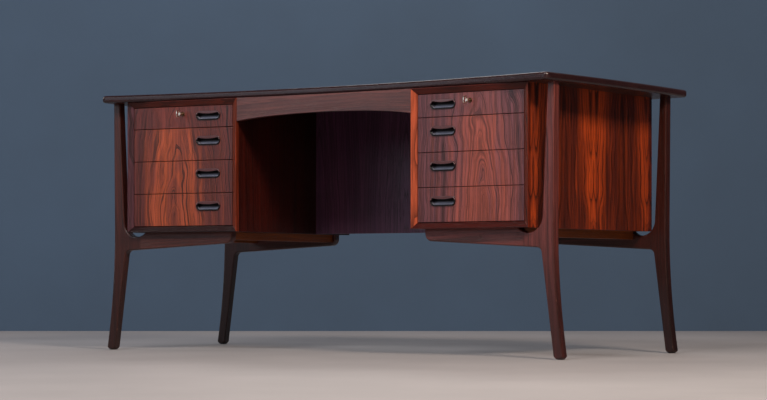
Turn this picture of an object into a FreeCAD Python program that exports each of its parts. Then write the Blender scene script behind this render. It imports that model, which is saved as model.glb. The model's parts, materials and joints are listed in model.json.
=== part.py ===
"""A kneehole writing desk with a concave front, in millimetres.

+X runs along the desk, -Y faces the sitter and +Z is up. The origin is on the floor, under the middle of
the tabletop. Each pedestal has a frame of its own, on the floor under the middle of its front, turned by
the toe angle.
"""
import FreeCAD, Part
import math
import os
import re
import Sketcher

# The driving sizes, in millimetres and degrees, in groups that follow the pieces.
SIZES = {
    # The whole desk
    "desk_height": 725.0,
    "overall_depth": 770.0,
    "toe_angle": 3.8,
    "pedestal_spacing": 930.0,
    "pedestal_setback": 39.0,
    "clearance": 0.3,
    "overrun": 1.0,
    # Tabletop
    "top_thickness": 20.0,
    "front_sagitta": 80.0,
    "rear_sagitta": 60.0,
    "side_bow": 12.0,
    "front_corner_overhang": 5.0,
    "rear_corner_overhang": 27.0,
    "corner_rounding": 14.0,
    "lipping_width": 10.0,
    "lipping_rounding": 7.0,
    # Pedestals
    "pedestal_width": 365.0,
    "pedestal_depth": 645.0,
    "pedestal_height": 370.0,
    "panel_thickness": 16.0,
    "back_thickness": 8.0,
    "front_bevel": 10.5,
    "panel_rounding": 4.0,
    "frame_rounding": 1.5,
    # Kneehole
    "apron_depth_end": 64.0,
    "apron_depth_middle": 48.0,
    "apron_flat_rise": 5.5,
    "apron_thickness": 20.0,
    "apron_setback": 4.0,
    "modesty_thickness": 18.0,
    "modesty_setback": 453.0,
    # Legs
    "leg_thickness": 27.0,
    "front_leg_setback": 38.0,
    "rear_leg_inset": 23.0,
    "post_top_gap": 43.0,
    "post_top_width": 21.0,
    "leg_waist_reach": 61.0,
    "leg_waist_drop": 365.0,
    "foot_reach": 88.0,
    "foot_width": 27.0,
    "foot_rounding": 14.0,
    "foot_flat": 4.0,
    "knee_reach": 23.0,
    "knee_fillet": 15.0,
    "scoop_radius": 42.0,
    "scoop_drop": 12.0,
    "scoop_inset": 15.0,
    "leg_softening": 4.0,
    "leg_tenon_diameter": 10.0,
    "leg_tenon_length": 12.0,
    # Bearers and stretchers
    "knuckle_inset": 30.0,
    "bearer_root_depth": 48.0,
    "bearer_tip_depth": 31.0,
    "bearer_tip_inset": 30.0,
    "bearer_tip_rounding": 20.0,
    "bearer_tenon_length": 20.0,
    "bearer_tenon_thickness": 9.0,
    "bearer_tenon_height": 22.0,
    "stretcher_height": 22.0,
    "stretcher_thickness": 20.0,
    "stretcher_inset": 50.0,
    # Drawers
    "drawer_gap": 1.5,
    "top_front_height": 60.0,
    "front_thickness": 18.0,
    "front_rounding": 1.0,
    "box_length": 540.0,
    "box_wall": 12.0,
    "box_side_gap": 2.0,
    "box_rise": 7.0,
    "box_drop": 9.0,
    "bottom_thickness": 5.0,
    "bottom_rise": 6.0,
    "bottom_housing": 5.0,
    "runner_height": 12.0,
    "runner_width": 8.0,
    "runner_length": 570.0,
    "dovetail_length": 12.0,
    "dovetail_flare": 2.0,
    # Handles
    "handle_width": 80.0,
    "handle_height": 26.0,
    "handle_inset": 40.0,
    "handle_drop": 22.5,
    "top_handle_drop": 14.0,
    "rim_proud": 3.0,
    "rim_ledge": 2.2,
    "rim_rounding": 1.5,
    "cup_depth": 14.0,
    "cup_wall": 1.6,
    "lip_drop": 1.2,
    "lip_bow": 3.5,
    "lip_thickness": 4.0,
    "lip_corner": 3.0,
    # Locks and keys
    "lock_drop": 21.0,
    "lock_width": 44.0,
    "lock_height": 38.0,
    "lock_thickness": 12.0,
    "lock_wall": 1.5,
    "bolt_width": 18.0,
    "bolt_height": 10.0,
    "bolt_thickness": 4.0,
    "bolt_throw": 7.0,
    "key_diameter": 4.5,
    "key_reach": 17.0,
    "key_bow_diameter": 16.0,
    "key_bow_straight": 5.0,
    "key_bow_width": 2.8,
    "key_bow_thickness": 2.4,
    "key_collar_diameter": 7.0,
    "key_collar_length": 2.2,
    "key_bit_height": 4.5,
    "key_bit_length": 5.0,
    "escutcheon_diameter": 13.0,
    "escutcheon_proud": 1.2,
    # Screws
    "screw_diameter": 4.5,
    "screw_head_diameter": 9.0,
    "screw_head_height": 3.0,
    "screw_bite": 12.0,
    "bearer_screw_sink": 25.0,
}
# Places along a bearer and on a pedestal top where the screws stand, as shares of the length.
SCREW_SHARES = (0.24, 0.8)
# How much of the kneehole's width the flat middle of the apron's arch takes.
ARCH_MIDDLE_SHARE = 0.64
# How much of the corner rounding the tabletop's front corners lose in depth.
CORNER_LOSS_SHARE = 0.211
# How far the wedges that part the lipping's lengths reach, in lipping widths.
MITRE_REACH_SHARE = 4
# The radius of the arch's haunches, before they are made tangent to its middle, in half openings.
HAUNCH_SHARE = 4
# The depth of the blank that the apron is cut from, in apron thicknesses.
APRON_BLANK_SHARE = 4
# How much of its pitch a dovetail takes where it leaves its board.
DOVETAIL_SHARE = 0.5
HANDS = (("left", -1), ("right", 1))
LOWER_DRAWERS = 3
DOVETAILS = (2, 3, 3, 3)

# Formulas that several pieces share, written in the sizes' names.
TOP_UNDERSIDE = "(desk_height - top_thickness)"
CARCASE_BOTTOM = f"({TOP_UNDERSIDE} - pedestal_height)"
OPENING_WIDTH = "(pedestal_width - 2 * panel_thickness)"
OPENING_HEIGHT = "(pedestal_height - 2 * panel_thickness)"
OPENING_TOP = f"({TOP_UNDERSIDE} - panel_thickness)"
HALF_PEDESTAL = "(pedestal_width / 2)"
POST_REACH = "(post_top_gap + post_top_width)"
REAR_LEG_SETBACK = "(pedestal_depth - rear_leg_inset)"
LEG_SETBACKS = {"front": "front_leg_setback", "rear": REAR_LEG_SETBACK}
FRONT_BACK = "(front_bevel + front_thickness)"
BOLT_FRONT = f"({FRONT_BACK} - (lock_thickness + bolt_thickness) / 2)"
KNUCKLE = "(-knuckle_inset)"
BEARER_RUN = "(pedestal_width - knuckle_inset - bearer_tip_inset)"
SCREW_BORE = "(screw_diameter / 2 + clearance)"
SCREW_SINK = "(screw_head_diameter / 2 + clearance)"
SCREW_DEPTH = "(screw_bite + clearance)"
KEY_BORE = "(key_diameter / 2 + clearance)"

doc = FreeCAD.newDocument("kneehole_desk")
sheet = doc.addObject("Spreadsheet::Sheet", "sizes")
for row, (size_name, size_value) in enumerate(SIZES.items(), start=1):
    sheet.set(f"A{row}", size_name)
    sheet.set(f"B{row}", str(size_value))
    sheet.setAlias(f"B{row}", size_name)
doc.recompute()
NODES = {}


def full(formula):
    """A formula with each size's name turned into a reference to the sheet."""
    def refer(word):
        return f"sizes.{word.group()}" if word.group() in SIZES else word.group()
    return re.sub(r"[a-z_]+", refer, formula)


def value(formula):
    """The number that a formula gives now."""
    return float(sheet.evalExpression(full(formula)))


def bind(item, **formulas):
    """Bind properties to formulas; a double underscore in a name stands for a dot."""
    for name, formula in formulas.items():
        item.setExpression(name.replace("__", "."), full(str(formula)))


def locate(item, x="0", y="0", z="0"):
    """Bind an item's place."""
    bind(item, Placement__Base__x=x, Placement__Base__y=y, Placement__Base__z=z)


def seat(item, side):
    """Place an item that is modelled in a pedestal's own frame."""
    item.Placement = FreeCAD.Placement(FreeCAD.Vector(), FreeCAD.Rotation(FreeCAD.Vector(0, 0, 1), 1))
    bind(item, Placement__Rotation__Angle=f"{-side} * toe_angle")
    locate(item, f"{side} * pedestal_spacing / 2", "pedestal_setback - overall_depth / 2")


def node(item, name, side=0):
    """Name a finished sub-part, and seat it in its pedestal where it belongs to one."""
    item.Label = name
    if side:
        seat(item, side)
    NODES[name] = item
    return item


def new_body(name):
    """An empty body."""
    return doc.addObject("PartDesign::Body", f"{name}_body")


def block(owner, kind, size, corner):
    """A box with bound size and least corner: a body's feature, or a free item of the document."""
    maker = owner.newObject if kind.startswith("PartDesign") else owner.addObject
    item = maker(kind, "block")
    bind(item, Length=size[0], Width=size[1], Height=size[2])
    locate(item, *corner)
    return item


def add_block(body, size, corner):
    """A box joined to a body."""
    return block(body, "PartDesign::AdditiveBox", size, corner)


def cut_block(body, size, corner):
    """A box cut out of a body."""
    return block(body, "PartDesign::SubtractiveBox", size, corner)


def free_block(size, corner):
    """A box by itself."""
    return block(doc, "Part::Box", size, corner)


TURNS = {
    "x": FreeCAD.Rotation(FreeCAD.Vector(0, 1, 0), 90),
    "y": FreeCAD.Rotation(FreeCAD.Vector(1, 0, 0), -90),
    "z": FreeCAD.Rotation(),
}


def rod(owner, kind, radius, length, base, axis="z"):
    """A cylinder with bound radius and length, from its base along an axis."""
    maker = owner.newObject if kind.startswith("PartDesign") else owner.addObject
    item = maker(kind, "rod")
    item.Placement = FreeCAD.Placement(FreeCAD.Vector(), TURNS[axis])
    bind(item, Radius=radius, Height=length)
    locate(item, *base)
    return item


def add_rod(body, radius, length, base, axis="z"):
    """A cylinder joined to a body."""
    return rod(body, "PartDesign::AdditiveCylinder", radius, length, base, axis)


def cut_rod(body, radius, length, base, axis="z"):
    """A cylinder cut out of a body."""
    return rod(body, "PartDesign::SubtractiveCylinder", radius, length, base, axis)


def free_rod(radius, length, base, axis="z"):
    """A cylinder by itself."""
    return rod(doc, "Part::Cylinder", radius, length, base, axis)


def group(items, name="group"):
    """Separate solids kept together."""
    item = doc.addObject("Part::Compound", name)
    item.Links = items
    return item


def less(base, tool, name="cut"):
    """A piece with a tool's space taken out of it."""
    item = doc.addObject("Part::Cut", name)
    item.Base = base
    item.Tool = tool
    return item


def shared(base, tool, name="common"):
    """The space that two items share."""
    item = doc.addObject("Part::Common", name)
    item.Base = base
    item.Tool = tool
    return item


def arc_through(start, end, radius, bulge):
    """The minor arc between two points, bulging to the left (1) or right (-1) of the way between them."""
    chord = end - start
    half = chord.Length / 2
    rise = radius - math.sqrt(radius * radius - half * half)
    normal = FreeCAD.Vector(-chord.y, chord.x, 0).normalize()
    return Part.Arc(start, (start + end) / 2 + normal * rise * bulge, end)


def outline(body, plane, corners, arcs=None, smooth=None, offset="0"):
    """A closed sketch on one of the body's planes.

    Corners are pairs of formulas. Arcs maps a side, numbered by its first corner, to its radius and bulge.
    Smooth maps a corner whose sides are tangent to the arc there that takes its radius from that, and not
    from its formula.
    """
    arcs = arcs or {}
    smooth = smooth or {}
    sketch = body.newObject("Sketcher::SketchObject", "outline")
    support = [feature for feature in body.Origin.OriginFeatures if feature.Role == plane][0]
    sketch.AttachmentSupport = [(support, "")]
    sketch.MapMode = "FlatFace"
    bind(sketch, AttachmentOffset__Base__z=offset)
    points = [FreeCAD.Vector(value(x), value(y), 0) for x, y in corners]
    ends = []
    for index, start in enumerate(points):
        end = points[(index + 1) % len(points)]
        if index in arcs:
            radius, bulge = arcs[index]
            side = sketch.addGeometry(arc_through(start, end, value(radius), bulge))
            ends.append((side, 1, 2) if bulge < 0 else (side, 2, 1))
        else:
            side = sketch.addGeometry(Part.LineSegment(start, end))
            ends.append((side, 1, 2))
    for index, (x, y) in enumerate(corners):
        side, first, _ = ends[index]
        before, _, last = ends[index - 1]
        kind = "Tangent" if index in smooth else "Coincident"
        sketch.addConstraint(Sketcher.Constraint(kind, before, last, side, first))
        for axis, formula in (("DistanceX", x), ("DistanceY", y)):
            number = sketch.addConstraint(Sketcher.Constraint(axis, side, first, value(formula)))
            sketch.setExpression(f"Constraints[{number}]", full(formula))
    for index, (radius, _) in arcs.items():
        if index not in smooth.values():
            number = sketch.addConstraint(Sketcher.Constraint("Radius", ends[index][0], value(radius)))
            sketch.setExpression(f"Constraints[{number}]", full(radius))
    return sketch


def pad(body, sketch, length, flip=False):
    """Extrude a sketch."""
    feature = body.newObject("PartDesign::Pad", "pad")
    feature.Profile = sketch
    feature.Reversed = flip
    bind(feature, Length=length)
    doc.recompute()
    return feature


def revolve(body, sketch):
    """Turn a sketch about its upright axis."""
    feature = body.newObject("PartDesign::Revolution", "turning")
    feature.Profile = sketch
    feature.ReferenceAxis = (sketch, ["V_Axis"])
    doc.recompute()
    return feature


def soften(body, radius, chosen):
    """Round the edges of the body's last feature that the chooser accepts."""
    doc.recompute()
    base = body.Tip
    names = [f"Edge{i}" for i, edge in enumerate(base.Shape.Edges, start=1) if chosen(edge)]
    feature = body.newObject("PartDesign::Fillet", "rounding")
    feature.Base = (base, names)
    bind(feature, Radius=radius)
    doc.recompute()
    return feature


def upright(edge, axis):
    """Whether an edge is straight and runs along an axis."""
    first, last = edge.Vertexes[0].Point, edge.Vertexes[-1].Point
    step = last - first
    across = step - axis * step.dot(axis)
    return isinstance(edge.Curve, Part.Line) and across.Length < step.Length / 1000


def near(edge, places, axis):
    """Whether an edge along an axis passes through one of some places."""
    middle = edge.CenterOfMass
    if not upright(edge, axis):
        return False
    gaps = [middle - place - axis * (middle - place).dot(axis) for place in places]
    return any(gap.Length < value("clearance") for gap in gaps)


ALONG_Y = FreeCAD.Vector(0, 1, 0)
ALONG_Z = FreeCAD.Vector(0, 0, 1)


def on_plane(edge, normal, distance):
    """Whether an edge's ends lie on a plane."""
    return all(abs(vertex.Point.dot(normal) - distance) < value("clearance") for vertex in edge.Vertexes)


def soften_plank(body, setback, seams):
    """Soften the long edges of a plank that lies across the pedestal's depth, but not those on its seams."""
    faces = [value(f"{setback} + {sign} * leg_thickness / 2") for sign in (-1, 1)]

    def chosen(edge):
        on_face = any(on_plane(edge, ALONG_Y, face) for face in faces)
        return on_face and not any(on_plane(edge, normal, distance) for normal, distance in seams)
    soften(body, "leg_softening", chosen)


# Tabletop outline
def post_x(setback):
    """How far out a post's outer face stands at its top."""
    reach = f"({HALF_PEDESTAL} + {POST_REACH}) * cos(toe_angle)"
    return f"(pedestal_spacing / 2 + {reach} + {setback} * sin(toe_angle))"


FRONT_HALF = f"({post_x('front_leg_setback')} + front_corner_overhang)"
REAR_HALF = f"({post_x(REAR_LEG_SETBACK)} + rear_corner_overhang)"
FRONT_LINE = f"(-overall_depth / 2 - corner_rounding * {CORNER_LOSS_SHARE})"
REAR_LINE = "(overall_depth / 2 - rear_sagitta)"


def bow_radius(half_chord_square, rise):
    """The radius of an arc, from the square of half its chord and its rise."""
    return f"(({half_chord_square} + {rise}^2) / (2 * {rise}))"


def top_body(name, inset):
    """The tabletop's bowed outline as a slab, drawn in by an inset all round."""
    body = new_body(name)
    front = f"({FRONT_HALF} - {inset})"
    rear = f"({REAR_HALF} - {inset})"
    near_y = f"({FRONT_LINE} + {inset})"
    far_y = f"({REAR_LINE} - {inset})"
    corners = [(f"-{front}", near_y), (front, near_y), (rear, far_y), (f"-{rear}", far_y)]
    side_square = f"(({rear} - {front})^2 + ({far_y} - {near_y})^2) / 4"
    arcs = {
        0: (bow_radius(f"{front}^2", "front_sagitta"), 1),
        1: (bow_radius(side_square, "side_bow"), -1),
        2: (bow_radius(f"{rear}^2", "rear_sagitta"), -1),
        3: (bow_radius(side_square, "side_bow"), -1),
    }
    pad(body, outline(body, "XY_Plane", corners, arcs, offset=TOP_UNDERSIDE), "top_thickness")
    return body


def tabletop_lipping(core):
    """Four lengths of solid edging with a rounded edge, mitred at the corners, round the core."""
    blank = top_body("edge_blank", "0")
    soften(blank, "corner_rounding", lambda edge: upright(edge, ALONG_Z))
    soften(blank, "lipping_rounding", lambda edge: not upright(edge, ALONG_Z))
    ring = less(blank, core)
    sides = []
    for _, side in HANDS:
        sector = new_body("mitre_sector")
        reach = f"lipping_width * {MITRE_REACH_SHARE}"
        corners = [
            (f"{side} * ({FRONT_HALF} + {reach})", f"{FRONT_LINE} - {reach}"),
            (f"{side} * ({REAR_HALF} + {reach})", f"{REAR_LINE} + {reach}"),
            (f"{side} * ({REAR_HALF} - {reach})", f"{REAR_LINE} - {reach}"),
            (f"{side} * ({FRONT_HALF} - {reach})", f"{FRONT_LINE} + {reach}"),
        ]
        sketch = outline(sector, "XY_Plane", corners, offset=f"{TOP_UNDERSIDE} - overrun")
        pad(sector, sketch, "top_thickness + 2 * overrun")
        sides.append(sector)
    lengths = [shared(ring, sector) for sector in sides]
    lengths.append(less(ring, group(sides)))
    node(group(lengths), "tabletop_lipping")


def top_sockets(side):
    """What is bored into the tabletop over one pedestal: leg tenons and screws."""
    bores = []
    for setback in LEG_SETBACKS.values():
        radius = "leg_tenon_diameter / 2 + clearance"
        base = (f"{side} * ({HALF_PEDESTAL} + post_top_gap + post_top_width / 2)", setback, TOP_UNDERSIDE)
        bores.append(free_rod(radius, "leg_tenon_length + clearance", base))
    for x, y in top_screw_places():
        bores.append(free_rod(SCREW_BORE, SCREW_DEPTH, (x, y, TOP_UNDERSIDE)))
    sockets = group(bores)
    seat(sockets, side)
    return sockets


def tabletop():
    """The veneered panel, bored for the legs and screws, and its lipping."""
    core = top_body("tabletop_core", "lipping_width")
    tabletop_lipping(core)
    sockets = group([top_sockets(side) for _, side in HANDS])
    node(less(core, sockets), "tabletop_panel")


# Screws
def top_screw_places():
    """Where the screws stand in a pedestal's top, in its frame."""
    places = []
    for share in SCREW_SHARES:
        for across in (-1, 1):
            x = f"{across} * ({OPENING_WIDTH} * {SCREW_SHARES[1] / 2})"
            places.append((x, f"pedestal_depth * {share}"))
    return places


def bearer_screw_places(side):
    """Where the screws stand along a bearer, in the pedestal's frame."""
    root = f"{HALF_PEDESTAL} - knuckle_inset"
    return [f"{side} * ({root} - {BEARER_RUN} * {share})" for share in SCREW_SHARES]


def screw(x, y, head_z, length):
    """A countersunk screw that points up from the flat of its head."""
    head = doc.addObject("Part::Cone", "screw_head")
    bind(head, Radius1="screw_head_diameter / 2", Radius2="screw_diameter / 2", Height="screw_head_height")
    locate(head, x, y, head_z)
    shank = free_rod("screw_diameter / 2", length, (x, y, head_z))
    whole = doc.addObject("Part::Fuse", "screw")
    whole.Base = head
    whole.Tool = shank
    return whole


def wood_screws():
    """Every screw that holds the tabletop and the bearers to the pedestals."""
    sets = []
    for _, side in HANDS:
        screws = []
        for x, y in top_screw_places():
            screws.append(screw(x, y, OPENING_TOP, "panel_thickness + screw_bite"))
        for setback in LEG_SETBACKS.values():
            for x in bearer_screw_places(side):
                head_z = f"{CARCASE_BOTTOM} - bearer_screw_sink"
                screws.append(screw(x, setback, head_z, "bearer_screw_sink + screw_bite"))
        fixed = group(screws)
        seat(fixed, side)
        sets.append(fixed)
    node(group(sets), "wood_screws")


def screw_way(body, x, y, head_z, through):
    """The bore and the countersink that a screw passes through, from the flat of its head up."""
    cut_rod(body, SCREW_BORE, f"{through} + overrun", (x, y, head_z))
    sink = body.newObject("PartDesign::SubtractiveCone", "countersink")
    bind(sink, Radius1=SCREW_SINK, Radius2=SCREW_BORE, Height="screw_head_height")
    locate(sink, x, y, head_z)


# Pedestals
def panel(name, side, place, turn, span):
    """A carcase panel as a wedge: its outer face is larger by a mitre at both ends and a bevel at the front.

    The wedge's own X runs to the rear, its Y through the thickness from the outer face, and its Z across the
    span.
    """
    body = new_body(name)
    wedge = body.newObject("PartDesign::AdditiveWedge", "panel")
    wedge.Placement = FreeCAD.Placement(FreeCAD.Vector(), turn)
    bind(wedge, Xmin="0", Xmax="pedestal_depth", Ymin="0", Ymax="panel_thickness", Zmin=f"-{span} / 2")
    bind(wedge, Zmax=f"{span} / 2", X2min="front_bevel", X2max="pedestal_depth")
    bind(wedge, Z2min=f"panel_thickness - {span} / 2", Z2max=f"{span} / 2 - panel_thickness")
    locate(wedge, *place)
    soften(body, "frame_rounding", lambda edge: on_plane(edge, ALONG_Y, 0))
    return node(body, name, side)


def facing(rearward, inward):
    """The turn that takes a wedge's X to the rear and its Y inward."""
    return FreeCAD.Rotation(rearward, inward, FreeCAD.Vector(), "XYZ")


def pedestal(hand, side):
    """Five panels: two sides, a top, a bottom and a back."""
    middle_z = f"{CARCASE_BOTTOM} + pedestal_height / 2"
    along_x = FreeCAD.Vector(1, 0, 0)
    for role, sign in (("outer", side), ("inner", -side)):
        place = (f"{sign} * {HALF_PEDESTAL}", "0", middle_z)
        turn = facing(ALONG_Y, along_x * -sign)
        body = panel(f"{hand}_pedestal_{role}_side", side, place, turn, "pedestal_height")
        rear_edge = FreeCAD.Vector(sign * value(HALF_PEDESTAL), value("pedestal_depth"), 0)
        soften(body, "panel_rounding", lambda edge: near(edge, [rear_edge], ALONG_Z))
    top_place = ("0", "0", TOP_UNDERSIDE)
    top = panel(f"{hand}_pedestal_top", side, top_place, facing(ALONG_Y, -ALONG_Z), "pedestal_width")
    for x, y in top_screw_places():
        screw_way(top, x, y, OPENING_TOP, "panel_thickness")
    mortise = ("bolt_width + 2 * clearance", "bolt_thickness + 2 * clearance", "bolt_throw + overrun")
    corner = ("-bolt_width / 2 - clearance", f"{BOLT_FRONT} - clearance", OPENING_TOP)
    cut_block(top, mortise, corner)
    bottom_place = ("0", "0", CARCASE_BOTTOM)
    bottom = panel(f"{hand}_pedestal_bottom", side, bottom_place, facing(ALONG_Y, ALONG_Z), "pedestal_width")
    for setback in LEG_SETBACKS.values():
        for x in bearer_screw_places(side):
            cut_rod(bottom, SCREW_BORE, SCREW_DEPTH, (x, setback, CARCASE_BOTTOM))
    back = new_body("back")
    floor = f"{CARCASE_BOTTOM} + panel_thickness"
    corner = (f"-{OPENING_WIDTH} / 2", "pedestal_depth - back_thickness", floor)
    add_block(back, (OPENING_WIDTH, "back_thickness", OPENING_HEIGHT), corner)
    node(back, f"{hand}_pedestal_back", side)


# Kneehole
def pedestal_space(side):
    """The whole space of a pedestal, to fit what stands between the two."""
    space = free_block(
        ("pedestal_width", "pedestal_depth", "pedestal_height + overrun"),
        (f"-{HALF_PEDESTAL}", "0", CARCASE_BOTTOM),
    )
    held = group([space])
    seat(held, side)
    return held


def between_pedestals(blank, name):
    """A blank that is longer than the kneehole, cut to fit between the pedestals."""
    node(less(blank, group([pedestal_space(side) for _, side in HANDS])), name)


def kneehole():
    """The arched apron, curved in plan like the tabletop's front, and the flat modesty panel."""
    half = "(pedestal_spacing / 2)"
    front = f"(pedestal_setback - overall_depth / 2 + {HALF_PEDESTAL} * sin(toe_angle) + apron_setback)"
    opening_half = f"(pedestal_spacing / 2 - {HALF_PEDESTAL} * cos(toe_angle))"
    apron_half = f"({opening_half} + panel_thickness)"
    middle_half = f"({opening_half} * {ARCH_MIDDLE_SHARE})"
    profile = new_body("apron_profile")
    low = f"{TOP_UNDERSIDE} - apron_depth_end"
    spring = f"{TOP_UNDERSIDE} - apron_depth_middle - apron_flat_rise"
    corners = [
        (f"-{apron_half}", TOP_UNDERSIDE),
        (f"-{apron_half}", low),
        (f"-{opening_half}", low),
        (f"-{middle_half}", spring),
        (middle_half, spring),
        (opening_half, low),
        (apron_half, low),
        (apron_half, TOP_UNDERSIDE),
    ]
    haunch = f"({opening_half} * {HAUNCH_SHARE})"
    arcs = {2: (haunch, 1), 3: (bow_radius(f"{middle_half}^2", "apron_flat_rise"), 1), 4: (haunch, 1)}
    smooth = {3: 2, 4: 4}
    sketch = outline(profile, "XZ_Plane", corners, arcs, smooth, offset=f"-{front} + apron_thickness")
    pad(profile, sketch, f"apron_thickness * {APRON_BLANK_SHARE}", flip=True)
    front_radius = bow_radius(f"{FRONT_HALF}^2", "front_sagitta")
    # The curve's middle lies as far behind the ends as the same arc is deep over the kneehole.
    depth = f"({opening_half}^2 / (2 * {front_radius}))"
    centre = ("0", f"{front} + {depth} - {front_radius}", low)
    inner = free_rod(front_radius, "apron_depth_end", centre)
    outer = free_rod(f"{front_radius} + apron_thickness", "apron_depth_end", centre)
    between_pedestals(shared(profile, less(outer, inner)), "kneehole_apron")
    size = (f"2 * {half}", "modesty_thickness", "pedestal_height")
    corner = (f"-{half}", "pedestal_setback - overall_depth / 2 + modesty_setback", CARCASE_BOTTOM)
    between_pedestals(free_block(size, corner), "modesty_panel")


# Legs and bearers
BEARER_SLOPE = f"((bearer_root_depth - bearer_tip_depth) / {BEARER_RUN})"
SCOOP_Z = f"({CARCASE_BOTTOM} - scoop_drop + scoop_radius)"
TENON_Z = f"({CARCASE_BOTTOM} - bearer_root_depth / 2 - scoop_drop / 2 - bearer_tenon_height / 2)"


def outward(side, distance):
    """A place that far outside the pedestal's outer side, in its frame."""
    return f"{side} * ({HALF_PEDESTAL} + {distance})"


def scoop_level(distance):
    """How high the scoop's curve lies that far outside the pedestal's outer side."""
    return f"({SCOOP_Z} - sqrt(scoop_radius^2 - (scoop_inset + {distance})^2))"


def tenon_corner(side, setback, length):
    """The least corner of a bearer's tenon, or of its mortise, of some length from the knuckle outwards."""
    seam = outward(side, KNUCKLE)
    start = seam if side > 0 else f"{seam} - {length}"
    return start, f"{setback} - bearer_tenon_thickness / 2", TENON_Z


def foot_waste(x, y):
    """What is taken off round the end of a leg, to leave a foot domed like a thumb."""
    dome = new_body("dome")
    reach = "(foot_flat + foot_rounding)"
    corners = [("0", "0"), ("foot_flat", "0"), (reach, "foot_rounding"), ("0", "foot_rounding")]
    revolve(dome, outline(dome, "XZ_Plane", corners, {1: ("foot_rounding", -1)}))
    locate(dome, x, y)
    width = f"2 * {reach}"
    blank = free_block((width, width, "foot_rounding"), (f"{x} - {reach}", f"{y} - {reach}", "0"))
    return less(blank, dome)


def leg(hand, side, end):
    """A post, its scooped knuckle and a splayed lower leg, from one plank, with a tenon and a domed foot."""
    body = new_body("leg")
    half = "leg_thickness / 2"
    setback = LEG_SETBACKS[end]
    # The post's inner face leans like a tangent from its top to the scoop.
    lean = f"atan((post_top_gap + scoop_inset - scoop_radius) / ({TOP_UNDERSIDE} - {SCOOP_Z}))"
    knee_z = f"({CARCASE_BOTTOM} - bearer_root_depth - (knee_reach + knuckle_inset) * {BEARER_SLOPE})"
    places = [
        ("post_top_gap", TOP_UNDERSIDE),
        (POST_REACH, TOP_UNDERSIDE),
        ("leg_waist_reach", f"{TOP_UNDERSIDE} - leg_waist_drop"),
        ("foot_reach", "0"),
        ("(foot_reach - foot_width)", "0"),
        ("knee_reach", knee_z),
        (KNUCKLE, f"{CARCASE_BOTTOM} - bearer_root_depth"),
        (KNUCKLE, scoop_level(KNUCKLE)),
        (f"(scoop_radius * cos({lean}) - scoop_inset)", f"{SCOOP_Z} - scoop_radius * sin({lean})"),
    ]
    corners = [(outward(side, distance), level) for distance, level in places]
    splay = "((foot_reach - leg_waist_reach) / 2)"
    leg_drop = f"({TOP_UNDERSIDE} - leg_waist_drop)"
    splay_radius = f"(({leg_drop}^2 + (2 * {splay})^2) / (4 * {splay}))"
    arcs = {2: (splay_radius, -side), 7: ("scoop_radius", -side)}
    sketch = outline(body, "XZ_Plane", corners, arcs, offset=f"{half} - {setback}")
    pad(body, sketch, "leg_thickness", flip=True)

    def standing(index):
        return FreeCAD.Vector(value(corners[index][0]), 0, value(corners[index][1]))
    soften(body, "knee_fillet", lambda edge: near(edge, [standing(5)], ALONG_Y))
    joint = FreeCAD.Vector(1, 0, 0), value(corners[6][0])
    soften_plank(body, setback, [joint, (ALONG_Z, value(TOP_UNDERSIDE)), (ALONG_Z, 0)])
    add_rod(body, "leg_tenon_diameter / 2", "leg_tenon_length",
            (outward(side, "post_top_gap + post_top_width / 2"), setback, TOP_UNDERSIDE))
    room = ("(bearer_tenon_length + clearance)", "bearer_tenon_thickness", "bearer_tenon_height")
    cut_block(body, room, tenon_corner(side, setback, room[0]))
    # The dome's axis stands under the middle of the leg half way up the dome.
    shift = f"foot_rounding * {splay} / {leg_drop}"
    waste = foot_waste(outward(side, f"foot_reach - foot_width / 2 - 2 * {shift}"), setback)
    node(less(body, waste), f"{end}_{hand}_leg", side)


def bearer(hand, side, end):
    """The arm that carries a pedestal on a leg: it tapers inward and is tenoned into the leg's knuckle."""
    body = new_body("bearer")
    setback = LEG_SETBACKS[end]
    tip = "(bearer_tip_inset - pedestal_width)"
    top_start = "(-scoop_inset - sqrt(scoop_radius^2 - (scoop_radius - scoop_drop)^2))"
    places = [
        (KNUCKLE, scoop_level(KNUCKLE)),
        (KNUCKLE, f"{CARCASE_BOTTOM} - bearer_root_depth"),
        (tip, f"{CARCASE_BOTTOM} - bearer_tip_depth"),
        (tip, CARCASE_BOTTOM),
        (top_start, CARCASE_BOTTOM),
    ]
    corners = [(outward(side, distance), level) for distance, level in places]
    arcs = {4: ("scoop_radius", -side)}
    sketch = outline(body, "XZ_Plane", corners, arcs, offset=f"leg_thickness / 2 - {setback}")
    pad(body, sketch, "leg_thickness", flip=True)
    low_tip = FreeCAD.Vector(value(corners[2][0]), 0, value(corners[2][1]))
    soften(body, "bearer_tip_rounding", lambda edge: near(edge, [low_tip], ALONG_Y))
    joint = FreeCAD.Vector(1, 0, 0), value(corners[1][0])
    soften_plank(body, setback, [joint, (ALONG_Z, value(CARCASE_BOTTOM))])
    length = "bearer_tenon_length"
    tenon = (length, "bearer_tenon_thickness", "bearer_tenon_height")
    add_block(body, tenon, tenon_corner(side, setback, length))
    head_z = f"{CARCASE_BOTTOM} - bearer_screw_sink"
    for x in bearer_screw_places(side):
        screw_way(body, x, setback, head_z, "bearer_screw_sink")
        cut_rod(body, SCREW_SINK, "bearer_root_depth", (x, setback, f"{head_z} - bearer_root_depth"))
    node(body, f"{end}_{hand}_bearer", side)


def stretchers(hand, side):
    """Two rails under a pedestal, from the front bearer to the rear one."""
    length = f"({REAR_LEG_SETBACK} - front_leg_setback - leg_thickness)"
    size = ("stretcher_thickness", length, "stretcher_height")
    rails = []
    for sign in (-1, 1):
        middle = f"{sign} * ({HALF_PEDESTAL} - stretcher_inset)"
        corner = (f"{middle} - stretcher_thickness / 2", "front_leg_setback + leg_thickness / 2",
                  f"{CARCASE_BOTTOM} - stretcher_height")
        rails.append(free_block(size, corner))
    node(group(rails), f"{hand}_stretchers", side)


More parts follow.
